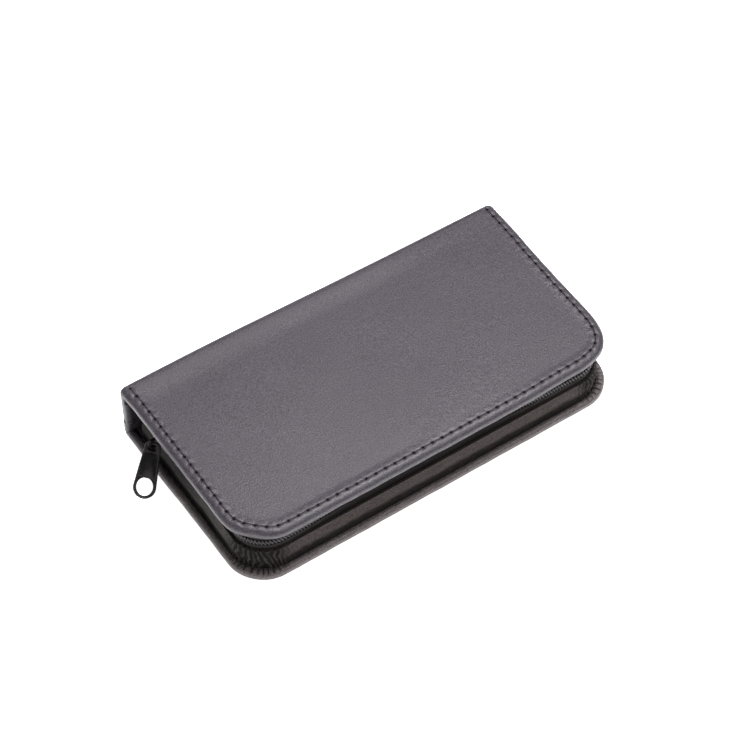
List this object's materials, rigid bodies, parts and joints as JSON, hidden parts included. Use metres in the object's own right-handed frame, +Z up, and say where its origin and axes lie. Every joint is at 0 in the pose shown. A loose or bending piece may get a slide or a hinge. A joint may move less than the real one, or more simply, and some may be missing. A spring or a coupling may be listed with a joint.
{
  "type": "zip-round manicure set case",
  "caption": "Padded leather zip-round case that folds open flat on a stiff spine and holds a small manicure set under elastic straps.",
  "frame": {"origin": "centre of the closed case's footprint, on the underside of the base", "axes": "+X along the length, +Y towards the spine, +Z up through the closed case"},
  "size_m": [0.1618, 0.079, 0.0246],
  "materials": {
    "leather": "satin grey leather with a fine pebble grain",
    "board": "grey-brown stiffening board, hidden inside the cover",
    "lining": "dark short-pile lining",
    "tape": "black woven zip tape",
    "coil": "dark nylon zip coil",
    "thread": "dark waxed sewing thread",
    "black_metal": "glossy black lacquer on die-cast metal",
    "steel": "polished and brushed stainless steel",
    "elastic": "dark woven elastic",
    "handle": "dark moulded plastic"
  },
  "bodies": {
    "base": {"base_leather": "leather", "base_board": "board", "base_lining": "lining", "base_seam_thread": "thread", "base_gusset": "leather", "base_zip_tape": "tape", "gusset_seam_thread": "thread", "base_zip_coil": "coil", "base_top_stop": "black_metal", "bottom_stop": "black_metal", "clipper_lower_jaw": "steel", "clipper_upper_jaw": "steel", "clipper_pin": "steel", "scissors_lower_half": "steel", "scissors_screw": "steel", "clipper_strap": "elastic", "scissors_strap": "elastic", "base_fold_leather": "leather"},
    "spine": {"spine_leather": "leather", "spine_board": "board", "spine_lining": "lining", "lid_fold_leather": "leather"},
    "lid": {"lid_leather": "leather", "lid_board": "board", "lid_lining": "lining", "lid_seam_thread": "thread", "lid_zip_tape": "tape", "lid_zip_coil": "coil", "lid_top_stop": "black_metal", "file_blade": "steel", "file_handle": "handle", "tweezers": "steel", "cuticle_pusher": "steel", "lid_strap_left": "elastic", "lid_strap_right": "elastic"},
    "slider": {"zip_slider": "black_metal"},
    "puller": {"zip_puller": "black_metal"},
    "lever": {"clipper_lever": "steel"},
    "scissors_upper": {"scissors_upper_half": "steel"}
  },
  "joints": [
    {"name": "spine_fold", "type": "hinge", "parent": "base", "child": "spine", "pos_m": [0, 0.039, 0.0005], "axis": [-1, 0, 0], "range_deg": [0, 90], "deforming": ["base_fold_leather"]},
    {"name": "lid_fold", "type": "hinge", "parent": "spine", "child": "lid", "pos_m": [0, 0.039, 0.0241], "axis": [-1, 0, 0], "range_deg": [0, 90], "deforming": ["lid_fold_leather", "lid_zip_coil"]},
    {"name": "zip_slide", "type": "slide", "parent": "base", "child": "slider", "axis": [0, -1, 0], "range_m": [0, 0.038], "deforming": ["base_zip_coil"]},
    {"name": "puller_swing", "type": "hinge", "parent": "slider", "child": "puller", "pos_m": [-0.07455, 0.0204, 0.015], "axis": [0, 1, 0], "range_deg": [-22, 100]},
    {"name": "clipper_lever_swing", "type": "hinge", "parent": "base", "child": "lever", "pos_m": [-0.054, 0.024, 0], "axis": [0, 0, 1], "range_deg": [-90, 0]},
    {"name": "scissors_open", "type": "hinge", "parent": "base", "child": "scissors_upper", "pos_m": [-0.0115, -0.0125, 0], "axis": [0, 0, 1], "range_deg": [0, 28]}
  ]
}
